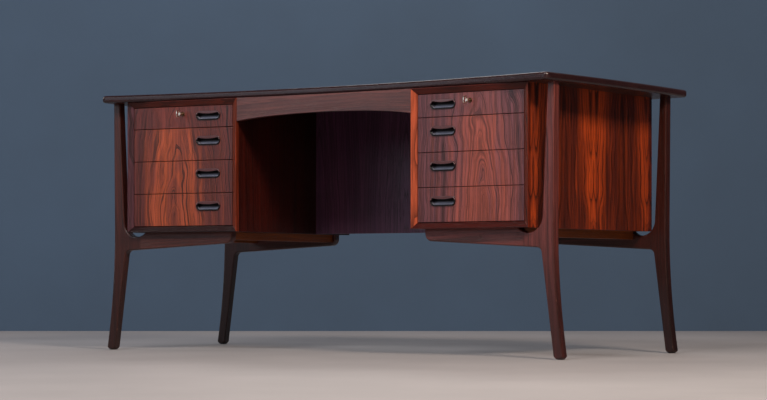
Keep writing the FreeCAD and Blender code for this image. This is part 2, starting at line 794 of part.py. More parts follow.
# Drawers
LOWER_HEIGHT = f"(({OPENING_HEIGHT} - top_front_height - {LOWER_DRAWERS + 2} * drawer_gap) / {LOWER_DRAWERS})"
FRONT_WIDTH = f"({OPENING_WIDTH} - 2 * drawer_gap)"
BOX_WIDTH = f"({OPENING_WIDTH} - 2 * box_side_gap)"


def front_span(number):
    """The bottom and the height of a drawer front, counted from the top."""
    top = f"({OPENING_TOP} - drawer_gap)"
    if number == 1:
        return f"({top} - top_front_height)", "top_front_height"
    steps = f"({number - 1} * ({LOWER_HEIGHT} + drawer_gap))"
    return f"({top} - top_front_height - {steps})", LOWER_HEIGHT


def runner_bottom(number):
    """How high a drawer's runners stand: half way up its sides."""
    bottom, height = front_span(number)
    return f"({bottom} + box_rise + ({height} - box_rise - box_drop - runner_height) / 2)"


def handle_centre(number, side):
    """The middle of a drawer's handle, across and up, on the kneehole half of its front."""
    bottom, height = front_span(number)
    drop = "top_handle_drop" if number == 1 else "handle_drop"
    across = f"({-side} * ({FRONT_WIDTH} / 2 - handle_inset - handle_width / 2))"
    return across, f"({bottom} + {height} - {drop} - handle_height / 2)"


def stadium(body, adding, width, height, centre, start, depth):
    """A slot shape with round ends, along Y from its start, added to a body or cut out of it."""
    make_block, make_rod = (add_block, add_rod) if adding else (cut_block, cut_rod)
    x, z = centre
    straight = f"({width} - {height})"
    make_block(body, (straight, depth, height), (f"{x} - {straight} / 2", start, f"{z} - {height} / 2"))
    for sign in (-1, 1):
        make_rod(body, f"{height} / 2", depth, (f"{x} + {sign} * {straight} / 2", start, z), "y")


def dovetails(number, sign):
    """The tails on the front end of one side of a drawer's box, which flare into the back of its front."""
    bottom, height = front_span(number)
    count = DOVETAILS[number - 1]
    pitch = f"(({height} - box_rise - box_drop) / {count})"
    neck = f"({pitch} * {DOVETAIL_SHARE})"
    start = f"-{BOX_WIDTH} / 2" if sign < 0 else f"{BOX_WIDTH} / 2 - box_wall"
    tails = []
    for index in range(count):
        tail = doc.addObject("Part::Wedge", "dovetail")
        bind(tail, Xmin="0", Xmax="box_wall", X2min="0", X2max="box_wall", Ymin="0", Ymax="dovetail_length")
        bind(tail, Zmin=f"-{neck} / 2 - dovetail_flare", Zmax=f"{neck} / 2 + dovetail_flare")
        bind(tail, Z2min=f"-{neck} / 2", Z2max=f"{neck} / 2")
        middle = f"{bottom} + box_rise + {pitch} * {index} + {pitch} / 2"
        locate(tail, start, f"{FRONT_BACK} - dovetail_length", middle)
        tails.append(tail)
    return tails


def drawer_front(name, side, number):
    """A veneered front with its handle's slot and sockets for dovetails, and in the top drawer for a lock."""
    body = new_body("front")
    bottom, height = front_span(number)
    add_block(body, (FRONT_WIDTH, "front_thickness", height), (f"-{FRONT_WIDTH} / 2", "front_bevel", bottom))
    soften(body, "front_rounding", lambda edge: on_plane(edge, ALONG_Y, value("front_bevel")))
    slot_width = "(handle_width - 2 * rim_ledge + 2 * clearance)"
    slot_height = "(handle_height - 2 * rim_ledge + 2 * clearance)"
    through = "(front_thickness + 2 * overrun)"
    centre = handle_centre(number, side)
    stadium(body, False, slot_width, slot_height, centre, "front_bevel - overrun", through)
    if number == 1:
        pocket = ("lock_width", "lock_thickness + overrun", "lock_height + overrun")
        cut_block(body, pocket, ("-lock_width / 2", LOCK_FRONT, LOCK_BOTTOM))
        way = ("0", "front_bevel - overrun", KEY_Z)
        cut_rod(body, KEY_BORE, through, way, "y")
    node(less(body, group(dovetails(number, -1) + dovetails(number, 1))), f"{name}_front", side)


def drawer_box(name, side, number):
    """Two sides, dovetailed into the front and grooved for runners and bottom, a back and the bottom."""
    bottom, height = front_span(number)
    low = f"({bottom} + box_rise)"
    tall = f"({height} - box_rise - box_drop)"
    inside = f"({BOX_WIDTH} - 2 * box_wall)"
    base_z = f"({low} + bottom_rise)"
    base_size = (f"{inside} + 2 * bottom_housing", "box_length - box_wall", "bottom_thickness")
    base_corner = (f"-{inside} / 2 - bottom_housing", FRONT_BACK, base_z)
    boards = []
    for sign in (-1, 1):
        start = f"-{BOX_WIDTH} / 2" if sign < 0 else f"{BOX_WIDTH} / 2 - box_wall"
        plank = free_block(("box_wall", "box_length", tall), (start, FRONT_BACK, low))
        board = doc.addObject("Part::MultiFuse", "box_side")
        board.Shapes = [plank] + dovetails(number, sign)
        depth = "(runner_width - box_side_gap + clearance)"
        groove_start = f"-{BOX_WIDTH} / 2" if sign < 0 else f"{BOX_WIDTH} / 2 - {depth}"
        groove_corner = (groove_start, FRONT_BACK, f"{runner_bottom(number)} - clearance")
        groove = free_block((depth, "box_length", "runner_height + 2 * clearance"), groove_corner)
        housing = free_block(base_size, base_corner)
        boards.append(less(board, group([groove, housing])))
    back_corner = (f"-{inside} / 2", f"{FRONT_BACK} + box_length - box_wall", low)
    boards.append(free_block((inside, "box_wall", tall), back_corner))
    boards.append(free_block(base_size, base_corner))
    node(group(boards), f"{name}_box", side)


def drawer_handle(name, side, number):
    """A moulded cup let into the front, with a proud rounded rim and a lip bowed down over its mouth."""
    body = new_body("handle")
    x, z = centre = handle_centre(number, side)
    cup_width = "(handle_width - 2 * rim_ledge)"
    cup_height = "(handle_height - 2 * rim_ledge)"
    stadium(body, True, "handle_width", "handle_height", centre, "front_bevel - rim_proud", "rim_proud")
    stadium(body, True, cup_width, cup_height, centre, "front_bevel", "cup_depth")
    mouth_width = f"({cup_width} - 2 * cup_wall)"
    mouth_height = f"({cup_height} - 2 * cup_wall)"
    mouth_start = "front_bevel - rim_proud - overrun"
    mouth_depth = "rim_proud + overrun + cup_depth - cup_wall"
    stadium(body, False, mouth_width, mouth_height, centre, mouth_start, mouth_depth)
    # The lip's ends follow the round ends of the cup, half way through its wall.
    straight = f"(({mouth_width} - {mouth_height}) / 2)"
    bend = f"(({mouth_height} + cup_wall) / 2)"
    level = f"({mouth_height} / 2 - lip_drop)"
    reach = f"({straight} + sqrt({bend}^2 - {level}^2))"
    corners = [
        (f"{x} - {reach}", f"{z} + {level}"),
        (f"{x} + {reach}", f"{z} + {level}"),
        (f"{x} + {straight}", f"{z} + {bend}"),
        (f"{x} - {straight}", f"{z} + {bend}"),
    ]
    arcs = {0: (bow_radius(f"{reach}^2", "lip_bow"), -1), 1: (bend, -1), 3: (bend, -1)}
    sketch = outline(body, "XZ_Plane", corners, arcs, offset="-front_bevel + rim_proud")
    pad(body, sketch, "lip_thickness", flip=True)
    face_y = value("front_bevel - rim_proud")
    slack = value("clearance")
    lip = value("lip_thickness")
    soften(body, "lip_corner", lambda edge: upright(edge, ALONG_Y) and abs(edge.Length - lip) < slack)
    soften(body, "rim_rounding", lambda edge: on_plane(edge, ALONG_Y, face_y))
    node(body, f"{name}_handle", side)


def runners(hand, side):
    """Two wooden runners for each drawer, on the pedestal's sides."""
    strips = []
    for number in range(1, LOWER_DRAWERS + 2):
        for sign in (-1, 1):
            start = f"-{OPENING_WIDTH} / 2" if sign < 0 else f"{OPENING_WIDTH} / 2 - runner_width"
            corner = (start, f"{FRONT_BACK} + clearance", runner_bottom(number))
            strips.append(free_block(("runner_width", "runner_length", "runner_height"), corner))
    node(group(strips), f"{hand}_drawer_runners", side)


# Locks and keys
KEY_Z = f"({OPENING_TOP} - drawer_gap - lock_drop)"
LOCK_FRONT = f"({FRONT_BACK} - lock_thickness)"
LOCK_BOTTOM = f"({OPENING_TOP} - drawer_gap - lock_height)"
BOLT_TOP = f"({OPENING_TOP} - drawer_gap)"


def key_bow(key, adding, middle, inset, spare):
    """A key's flat oval bow, drawn in by an inset: joined to the key, or cut out of it as the bow's eye."""
    make_block, make_rod = (add_block, add_rod) if adding else (cut_block, cut_rod)
    radius = f"(key_bow_diameter / 2 - {inset})"
    start = f"-key_bow_thickness / 2 - {spare}"
    through = f"(key_bow_thickness + 2 * {spare})"
    corner = (start, f"{middle} - {radius}", f"{KEY_Z} - key_bow_straight / 2")
    make_block(key, (through, f"2 * {radius}", "key_bow_straight"), corner)
    for sign in (-1, 1):
        make_rod(key, radius, through, (start, middle, f"{KEY_Z} + {sign} * key_bow_straight / 2"), "x")


def lock(hand, side):
    """A case in the top drawer's front, a bolt that rises out of it, an escutcheon and a key."""
    case = new_body("lock_case")
    case_corner = ("-lock_width / 2", LOCK_FRONT, LOCK_BOTTOM)
    add_block(case, ("lock_width", "lock_thickness", "lock_height"), case_corner)
    hollow = ("lock_width - 2 * lock_wall", "lock_thickness - 2 * lock_wall", "lock_height - 2 * lock_wall")
    hollow_corner = ("lock_wall - lock_width / 2", f"{LOCK_FRONT} + lock_wall", f"{LOCK_BOTTOM} + lock_wall")
    cut_block(case, hollow, hollow_corner)
    slot = ("bolt_width + 2 * clearance", "bolt_thickness + 2 * clearance", "lock_wall + 2 * overrun")
    slot_z = f"{BOLT_TOP} - lock_wall - overrun"
    cut_block(case, slot, ("-bolt_width / 2 - clearance", f"{BOLT_FRONT} - clearance", slot_z))
    cut_rod(case, KEY_BORE, "lock_wall + 2 * overrun", ("0", f"{LOCK_FRONT} - overrun", KEY_Z), "y")
    node(case, f"{hand}_lock_case", side)

    bolt = new_body("lock_bolt")
    bolt_corner = ("-bolt_width / 2", BOLT_FRONT, f"{BOLT_TOP} - bolt_height")
    add_block(bolt, ("bolt_width", "bolt_thickness", "bolt_height"), bolt_corner)
    node(bolt, f"{hand}_lock_bolt", side)

    plate = new_body("escutcheon")
    plate_start = ("0", "front_bevel - escutcheon_proud", KEY_Z)
    add_rod(plate, "escutcheon_diameter / 2", "escutcheon_proud", plate_start, "y")
    face_y = value("front_bevel - escutcheon_proud")
    soften(plate, "escutcheon_proud / 2", lambda edge: abs(edge.CenterOfMass.y - face_y) < value("clearance"))
    plate_bore = ("0", "front_bevel - escutcheon_proud - overrun", KEY_Z)
    cut_rod(plate, KEY_BORE, "escutcheon_proud + 2 * overrun", plate_bore, "y")
    node(plate, f"{hand}_escutcheon", side)

    key = new_body("key")
    stem_end = f"({FRONT_BACK} - lock_wall - clearance)"
    stem_start = "(front_bevel - key_reach)"
    add_rod(key, "key_diameter / 2", f"{stem_end} - {stem_start}", ("0", stem_start, KEY_Z), "y")
    add_rod(key, "key_collar_diameter / 2", "key_collar_length", ("0", stem_start, KEY_Z), "y")
    bow_middle = f"({stem_start} - key_bow_diameter / 2 + key_bow_width / 2)"
    key_bow(key, True, bow_middle, "0", "0")
    key_bow(key, False, bow_middle, "key_bow_width", "overrun")
    bit = ("key_bow_thickness", "key_bit_length", "(key_diameter / 2 + key_bit_height)")
    bit_corner = ("-key_bow_thickness / 2", f"{stem_end} - key_bit_length", f"{KEY_Z} - {bit[2]}")
    add_block(key, bit, bit_corner)
    node(key, f"{hand}_key", side)


tabletop()
kneehole()
wood_screws()
for hand_name, hand_side in HANDS:
    pedestal(hand_name, hand_side)
    runners(hand_name, hand_side)
    stretchers(hand_name, hand_side)
    for leg_end in LEG_SETBACKS:
        leg(hand_name, hand_side, leg_end)
        bearer(hand_name, hand_side, leg_end)
    for drawer_number in range(1, LOWER_DRAWERS + 2):
        drawer = f"{hand_name}_drawer_{drawer_number}"
        drawer_front(drawer, hand_side, drawer_number)
        drawer_box(drawer, hand_side, drawer_number)
        drawer_handle(drawer, hand_side, drawer_number)
    lock(hand_name, hand_side)
doc.recompute()

for item in doc.Objects:
    if "Invalid" in item.State or "Error" in item.State:
        raise RuntimeError(f"{item.Label} failed: {item.State}")
os.makedirs("parts", exist_ok=True)
for node_name, item in NODES.items():
    shape = item.Shape
    if shape.isNull() or not shape.isValid() or not shape.Solids:
        raise RuntimeError(f"{node_name} has no valid shape")
for node_name, item in NODES.items():
    item.Shape.exportStep(f"parts/{node_name}.step")
print(len(NODES), "nodes written")
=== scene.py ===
import json
import math

import bmesh
import bpy
from mathutils import Matrix, Vector


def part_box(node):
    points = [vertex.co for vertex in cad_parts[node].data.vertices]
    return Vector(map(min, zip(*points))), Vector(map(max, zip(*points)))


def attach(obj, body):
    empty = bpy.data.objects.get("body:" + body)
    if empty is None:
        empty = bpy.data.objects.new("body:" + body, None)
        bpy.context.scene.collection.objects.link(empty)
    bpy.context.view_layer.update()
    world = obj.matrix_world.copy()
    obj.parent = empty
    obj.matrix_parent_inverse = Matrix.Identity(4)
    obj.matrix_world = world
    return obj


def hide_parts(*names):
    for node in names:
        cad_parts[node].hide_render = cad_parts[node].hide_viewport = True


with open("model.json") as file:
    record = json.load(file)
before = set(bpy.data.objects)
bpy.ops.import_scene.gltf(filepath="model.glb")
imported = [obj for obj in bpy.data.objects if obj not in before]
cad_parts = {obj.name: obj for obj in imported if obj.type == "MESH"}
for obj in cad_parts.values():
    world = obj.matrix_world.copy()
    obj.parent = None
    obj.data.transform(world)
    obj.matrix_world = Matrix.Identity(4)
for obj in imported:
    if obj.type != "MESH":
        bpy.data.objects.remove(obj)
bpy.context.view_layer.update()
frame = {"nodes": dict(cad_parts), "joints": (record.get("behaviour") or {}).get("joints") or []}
nodes = frame["nodes"]


# Pedestals
# Two open boxes of boards faced with rosewood veneer, mitred at the front, where a bevel frames the drawers.
# They stand toed in, so the veneer's grain is set along each pedestal's own upright, width and depth.
class Finish:
    """One socket of a finish: sums and products of it add Math nodes to the same finish."""

    def __init__(self, tree, socket=None):
        self.tree = tree
        self.socket = socket

    def node(self, kind, settings=None, values=None, out=0):
        made = self.tree.nodes.new("ShaderNode" + kind)
        for name, value in (settings or {}).items():
            setattr(made, name, value)
        for name, value in (values or {}).items():
            if isinstance(value, Finish):
                self.tree.links.new(value.socket, made.inputs[name])
            else:
                made.inputs[name].default_value = value
        return Finish(self.tree, made.outputs[out] if made.outputs else None)

    def sum(self, operation, first, second=0.0):
        return self.node("Math", {"operation": operation}, {0: first, 1: second})

    def __add__(self, other):
        return self.sum("ADD", self, other)

    def __radd__(self, other):
        return self.sum("ADD", other, self)

    def __sub__(self, other):
        return self.sum("SUBTRACT", self, other)

    def __rsub__(self, other):
        return self.sum("SUBTRACT", other, self)

    def __mul__(self, other):
        return self.sum("MULTIPLY", self, other)

    def __rmul__(self, other):
        return self.sum("MULTIPLY", other, self)

    def __pow__(self, other):
        return self.sum("POWER", self, other)

    def __abs__(self):
        return self.sum("ABSOLUTE", self)

    def step(self, low, high, start=0.0, end=1.0):
        return self.node("MapRange", {"interpolation_type": "SMOOTHSTEP"},
                         {0: self, 1: low, 2: high, 3: start, 4: end})

    def blend(self, first, second):
        return self.node("Mix", {"data_type": "RGBA"}, {0: self, 6: first, 7: second}, 2)

    def dim(self, colour):
        if isinstance(colour, tuple):
            colour = colour[:3]
        return self.node("VectorMath", {"operation": "SCALE"}, {0: colour, "Scale": self})


def shade(red, green, blue):
    """A colour written as it looks on a screen, 0 to 255, as the light that it returns."""
    def light(level):
        level = level / 255
        return level / 12.92 if level <= 0.04045 else ((level + 0.055) / 1.055) ** 2.4
    return (light(red), light(green), light(blue), 1.0)


def new_finish(name):
    made = bpy.data.materials.new(name)
    made.use_nodes = True
    made.node_tree.nodes.clear()
    return made, Finish(made.node_tree)


def close_finish(finish, colour, roughness, height=None, relief=0.0, **fixed):
    """Ends a finish in one shader: what varies is linked, and what is the same all over is set."""
    values = {"Base Color": colour, "Roughness": roughness}
    if height is not None:
        values["Normal"] = finish.node("Bump", None, {"Strength": 1.0, "Distance": relief, "Height": height})
    for name, value in fixed.items():
        values[name.replace("_", " ")] = value
    surface = finish.node("BsdfPrincipled", None, values)
    finish.node("OutputMaterial", None, {"Surface": surface})


def board_turn(along, face):
    """The turn of a finish's own axes to a board's: x across it, y out of its face, z along its grain."""
    up = Vector(along).normalized()
    out = Vector(face).normalized()
    across = out.cross(up).normalized()
    return Matrix((across, up.cross(across), up)).transposed().to_euler()


def fibres(finish, place, stretch, detail, roughness=0.55):
    """Streaks that run along the grain: stretch is how close they lie across, out of and along the board."""
    drawn = finish.node("VectorMath", {"operation": "MULTIPLY"}, {0: place, 1: stretch})
    return finish.node("TexNoise", None,
                       {"Vector": drawn, "Scale": 1.0, "Detail": detail, "Roughness": roughness})


def layers(finish, reach, pace, detail, roughness=0.5):
    """Uneven growth layers, counted outwards from the heart of the log: pace is how close they lie."""
    return finish.node("TexNoise", {"noise_dimensions": "1D"},
                       {"W": reach * pace, "Scale": 1.0, "Detail": detail, "Roughness": roughness})


GLUE_LINE, BACKING_FADE, SHADE_AND_WEAR_REACH = 0.0004, 0.001, 0.25
BARE_WOOD = (176, 132, 112)


def rosewood(name, centre, along, face, lot, ground, flame, line, heart, wander, spread, lean=0.0, leaf=0.0,
             figure=1.0, swirl=0.0, soft=0.6, satin=0.36, gleam=0.5, relief=0.00025, edging=None,
             backing=None, shade_and_wear=None):
    """Rosewood cut from a log whose heart lies behind the face: flat faces show arches, edges show lines.

    lot is which part of the log the board comes from, and ground, flame and line are its dull colour, its
    bright one and that of its dark lines. heart is where the heart lies across the board and how deep, and
    lean is how much it sinks along the board. wander and swirl are how far the figure strays and eddies, and
    spread and soft are how far the flame reaches from the heart and how slowly it fades. leaf is the width
    of a veneer leaf, where leaves are opened like a book, and figure is the strength of the dark lines.

    edging is where the veneer ends across the board, at the back and at the front, and the colour of the
    solid edge there. backing is how deep a plainer veneer starts on the other face, and its colour. The last
    argument is how far up the grain a foot is darkened with painted shade, and knocked pale in spots by wear."""
    made, finish = new_finish(name)
    place = finish.node("TexCoord", None, None, "Object")
    place = finish.node("Mapping", {"vector_type": "TEXTURE"},
                        {"Vector": place, "Location": centre, "Rotation": board_turn(along, face)})
    split = finish.node("SeparateXYZ", None, {0: place})
    across = span = split
    depth = Finish(finish.tree, split.socket.node.outputs[1])
    length = Finish(finish.tree, split.socket.node.outputs[2])
    sheet = finish.node("VectorMath", {"operation": "ADD"}, {0: place, 1: (lot, lot, lot)})
    if leaf:
        across = finish.sum("PINGPONG", across, leaf)
        place = finish.node("CombineXYZ", None, {0: across, 1: depth, 2: length})
    place = finish.node("VectorMath", {"operation": "ADD"}, {0: place, 1: (lot, lot * 0.7, lot * 1.3)})

    # How far each spot lies from the heart of the log, once the log's own bends are taken in.
    sway = fibres(finish, place, (4.0, 4.0, 2.2), 1.5)
    swell = fibres(finish, place, (5.0, 5.0, 3.4), 2.0)
    ripple = fibres(finish, place, (40.0, 40.0, 6.0), 2.0)
    aside = across - heart[0] + (sway - 0.5) * wander + (ripple - 0.5) * 0.010
    under = length * lean + (swell - 0.5) * (wander * 0.8) - depth + heart[1]
    if swirl:
        eddy = fibres(finish, place, (13.0, 13.0, 8.0), 1.0)
        turn = fibres(finish, place, (17.0, 17.0, 11.0), 1.0)
        aside = aside + (eddy - 0.5) * swirl
        under = under + (turn - 0.5) * swirl
    near = (abs(aside) ** 1.5 + abs(under) ** 1.5) ** 0.667
    reach = near + lot

    # Growth layers that follow the log, and streaks that follow the grain of the sheet.
    broad = layers(finish, reach, 20.0, 1.5)
    bands = layers(finish, reach, 90.0, 2.5, 0.62)
    growth = reach * 170.0 + layers(finish, reach, 60.0, 2.0) * 5.0
    late = finish.sum("FRACT", growth)
    strong = layers(finish, reach, 110.0, 1.0)
    bold = finish.sum("FRACT", reach * 52.0 + layers(finish, reach, 26.0, 2.0) * 4.0)
    hair = fibres(finish, place, (420.0, 420.0, 10.0), 3.0, 0.6)
    strand = fibres(finish, place, (170.0, 170.0, 3.0), 2.0, 0.6)
    flare = fibres(finish, sheet, (70.0, 70.0, 2.0), 2.0, 0.6)
    pores = fibres(finish, place, (1500.0, 1500.0, 42.0), 1.0)
    mist = fibres(finish, sheet, (14.0, 14.0, 3.0), 2.0)
    patch = fibres(finish, sheet, (9.0, 9.0, 4.5), 2.0)

    # The flame round the heart, broken up by layers and streaks, over the dull ground.
    border = near + (broad - 0.5) * 0.10 + (strand - 0.5) * 0.06 + (mist - 0.5) * 0.09
    glow = border.step(spread * (1.0 - soft), spread * (1.0 + soft), 1.0, 0.0)
    glow = glow * patch.step(0.28, 0.52, 0.5, 1.0)
    glow = glow * 0.85 + (broad - 0.5) * 0.8 + (strand - 0.5) + (flare - 0.5) * 1.3 + (bands - 0.5) * 0.8
    colour = glow.step(-0.15, 1.1).blend(shade(*ground), shade(*flame))
    if edging:
        back, front, tint = edging
        fore = span.step(front - GLUE_LINE, front + GLUE_LINE)
        aft = span.step(back - GLUE_LINE, back + GLUE_LINE, 1.0, 0.0)
        colour = finish.sum("MAXIMUM", fore, aft).blend(colour, shade(*tint))

    # Dark bands, thin rings and bold veins, with fine dark grain over the whole board.
    dark = bands.step(0.52, 0.70) * patch.step(0.30, 0.60, 0.25, 0.7)
    ring = (1.0 - late) ** 1.6 * strong.step(0.36, 0.56, 0.2, 1.0) * mist.step(0.25, 0.5, 0.6, 1.0)
    vein = bold.step(0.0, 0.18, 1.0, 0.0) * bold.step(0.0, 0.03) * patch.step(0.3, 0.5, 0.2, 1.0)
    ring = finish.sum("MAXIMUM", ring, vein)
    grain = strand.step(0.46, 0.68) * 0.58
    ink = finish.sum("MAXIMUM", finish.sum("MAXIMUM", dark, ring) * figure, grain)
    colour = ink.blend(colour, shade(*line))
    if backing:
        start, tint = backing
        colour = depth.step(start, start + BACKING_FADE, 0.85, 0.0).blend(colour, shade(*tint))
    if shade_and_wear is not None:
        low_end = shade_and_wear - SHADE_AND_WEAR_REACH
        # Painted shade: the board darkens towards its foot, down to 0.42 of its colour; the pale spots below
        # are wear.
        colour = length.step(low_end, shade_and_wear + 0.15, 0.42, 1.0).dim(colour)
        knock = fibres(finish, place, (150.0, 150.0, 60.0), 3.0, 0.7)
        worn = knock.step(0.66, 0.74) * length.step(low_end, shade_and_wear, 0.8, 0.0)
        colour = worn.blend(colour, shade(*flame))
        colour = (worn * 0.5).blend(colour, shade(*BARE_WOOD))

    # Open pores and hair-fine fibres, which break up the oiled surface.
    pit = pores.step(0.60, 0.70)
    tone = (0.62 + hair * 0.84) * (1.0 - pit * 0.35)
    rough = satin + (hair - 0.5) * 0.16 + pit * 0.12
    close_finish(finish, tone.dim(colour), rough, hair * 0.4 - pit, relief, Specular_IOR_Level=gleam)
    return made


def dress(made, *names):
    """Puts a finish on CAD nodes, in every slot that they have."""
    for name in names:
        mesh = nodes[name].data
        mesh.materials.clear()
        mesh.materials.append(made)


slides = {joint["name"]: joint for joint in frame["joints"]}
SIDES = {"left": -1, "right": 1}
UP = Vector((0, 0, 1))
MID_HEIGHT = 0.52
front_of, width_of, middle_of = {}, {}, {}
for side in SIDES:
    front_of[side] = Vector(slides[side + "_drawer_2_slide"]["axis"]).normalized()
    width_of[side] = UP.cross(front_of[side])
    low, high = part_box(side + "_drawer_4_front")
    middle_of[side] = Vector(((low.x + high.x) / 2, (low.y + high.y) / 2, MID_HEIGHT))

SIDE_WOOD = dict(ground=(91, 34, 22), flame=(208, 81, 29), line=(14, 5, 4), gleam=0.3)
# The inner sides face the kneehole and are tinted far darker than the outer sides as painted shade.
SHADED_INNER_WOOD = dict(ground=(36, 9, 6), flame=(64, 17, 10), line=(12, 4, 3), gleam=0.2)
BOARD_WOOD = dict(figure=0.7, wander=0.03, spread=0.6, line=(18, 7, 6), gleam=0.25)
# The left bottom board is tinted darker than the other boards as painted shade on its upward bevel.
BOARD_TINTS = {
    "left_pedestal_top": dict(ground=(58, 20, 13), flame=(94, 31, 17)),
    "left_pedestal_bottom": dict(ground=(30, 14, 16), flame=(48, 22, 23)),
    "right_pedestal_top": dict(ground=(54, 16, 10), flame=(88, 26, 15)),
    "right_pedestal_bottom": dict(ground=(56, 13, 8), flame=(90, 21, 12)),
}
# The solid edges' tints are set by how each is lit: the right inner edge's brighter orange is painted light
# from the right, and the left outer edge's purple-grey is a painted sheen.
EDGES = {"left": ((78, 44, 53), (128, 49, 28)), "right": ((112, 38, 18), (172, 78, 50))}
BEVEL, REAR_EDGE, NO_EDGE = 0.0115, 0.022, -9.0
OUTER_FOLD, INNER_FOLD, BACK_SETTING = 0.325, 0.2, Vector((0, 0.6, 0))
for side, sign in SIDES.items():
    # Both sides are finished as seen along the pedestal's width, so that across them always leads forward.
    low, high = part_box(side + "_pedestal_outer_side")
    fold = Vector(((low.x + high.x) / 2, low.y + OUTER_FOLD, MID_HEIGHT))
    front = OUTER_FOLD * -front_of[side].y - BEVEL
    rear = front + BEVEL - (high.y - low.y) + REAR_EDGE
    outer = rosewood(side + " outer side", fold, UP, width_of[side], lot=3.1 + sign,
                     heart=(0.02, 0.04), lean=-0.09, leaf=0.15, wander=0.04, swirl=0.025, spread=0.055,
                     soft=0.9, edging=(rear, front, EDGES[side][0]), **SIDE_WOOD)
    dress(outer, side + "_pedestal_outer_side")
    low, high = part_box(side + "_pedestal_inner_side")
    fold = Vector(((low.x + high.x) / 2, low.y + INNER_FOLD, MID_HEIGHT))
    front = INNER_FOLD * -front_of[side].y - BEVEL
    inner = rosewood(side + " inner side", fold, UP, width_of[side], lot=7.4 + sign,
                     heart=(0.3, 0.12), lean=0.02, figure=0.8, wander=0.03, spread=0.5,
                     edging=(NO_EDGE, front, EDGES[side][1]), **SHADED_INNER_WOOD)
    dress(inner, side + "_pedestal_inner_side")
    for board in (side + "_pedestal_top", side + "_pedestal_bottom"):
        flat = rosewood(board.replace("_", " "), middle_of[side], width_of[side], UP, lot=5.2 + sign,
                        heart=(0.25, 0.3), **BOARD_WOOD, **BOARD_TINTS[board])
        dress(flat, board)
    back = rosewood(side + " pedestal back", middle_of[side] + BACK_SETTING, UP, -front_of[side],
                    lot=11.0 + sign, heart=(0.02, 0.07), lean=0.12, leaf=0.19, wander=0.03, spread=0.16,
                    **SIDE_WOOD)
    dress(back, side + "_pedestal_back")


# Drawer runners
# Strips of waxed beech fixed to the insides of the pedestals, two for each drawer.
# The grooves in the drawer sides ride on them.
def beech(name, centre, along, face, lot, ground, dark):
    """Pale drawer timber: fine straight grain with short darker flecks along it."""
    made, finish = new_finish(name)
    place = finish.node("TexCoord", None, None, "Object")
    place = finish.node("Mapping", {"vector_type": "TEXTURE"},
                        {"Vector": place, "Location": centre, "Rotation": board_turn(along, face)})
    place = finish.node("VectorMath", {"operation": "ADD"}, {0: place, 1: (lot, lot, lot)})
    grain = fibres(finish, place, (90.0, 90.0, 2.5), 4.0, 0.6)
    hair = fibres(finish, place, (700.0, 700.0, 22.0), 2.0)
    fleck = fibres(finish, place, (900.0, 900.0, 180.0), 0.0)
    tint = grain.step(0.35, 0.72)
    colour = tint.blend(shade(*ground), shade(*dark))
    tick = fleck.step(0.66, 0.72)
    colour = ((0.86 + hair * 0.28) * (1.0 - tick * 0.25)).dim(colour)
    close_finish(finish, colour, 0.5 + (hair - 0.5) * 0.2, hair - tick, relief=0.0002)
    return made


WAXED_PALE, WAXED_DARK = (178, 134, 92), (128, 88, 56)
for side, sign in SIDES.items():
    waxed = beech(side + " runners", middle_of[side], front_of[side], UP, lot=2.0 + sign,
                  ground=WAXED_PALE, dark=WAXED_DARK)
    dress(waxed, side + "_drawer_runners")


# Kneehole boards
# An arched apron of solid rosewood between the pedestals, and a veneered panel that closes the back of the
# kneehole. Both are held between the pedestals.
X, Y = Vector((1, 0, 0)), Vector((0, 1, 0))
low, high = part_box("kneehole_apron")
apron = rosewood("kneehole apron", (low + high) / 2, X, -Y, lot=1.7, ground=(70, 40, 40), flame=(104, 56, 50),
                 line=(34, 18, 19), heart=(0.22, 0.2), lean=0.02, figure=0.8, wander=0.03, spread=0.5)
dress(apron, "kneehole_apron")
low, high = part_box("modesty_panel")
# The modesty panel's dark purple tint is painted shade of the kneehole with a painted bluish sheen over it.
modesty = rosewood("modesty panel", (low + high) / 2, UP, -Y, lot=4.4, ground=(60, 34, 56),
                   flame=(90, 50, 76), line=(20, 9, 15), heart=(0.0, 0.06), lean=0.05, leaf=0.15, figure=0.8,
                   wander=0.03, spread=0.2)
dress(modesty, "modesty_panel")


# Tabletop
# A core veneered in bookmatched leaves that run its length, with a solid lipping round it, mitred at the
# corners. The veneer below is plainer, and darker as painted shade under the top.
low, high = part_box("tabletop_panel")
middle = (low + high) / 2
# The veneer below is tinted dark as painted shade under the top.
veneer = rosewood("tabletop veneer", middle, X, UP, lot=8.3, ground=(88, 42, 34), flame=(150, 70, 44),
                  line=(30, 14, 13), heart=(0.0, 0.07), lean=0.025, leaf=0.2, wander=0.06, swirl=0.02,
                  spread=0.2, satin=0.32, backing=(low.z - middle.z + BACKING_FADE, (40, 16, 11)))
dress(veneer, "tabletop_panel")
lipping = rosewood("tabletop lipping", middle, X, UP, lot=6.1, ground=(44, 24, 26), flame=(62, 34, 34),
                   line=(24, 13, 14), heart=(0.9, 0.5), figure=0.5, wander=0.02, spread=1.0, satin=0.24,
                   gleam=0.4, relief=0.00008)
dress(lipping, "tabletop_lipping")
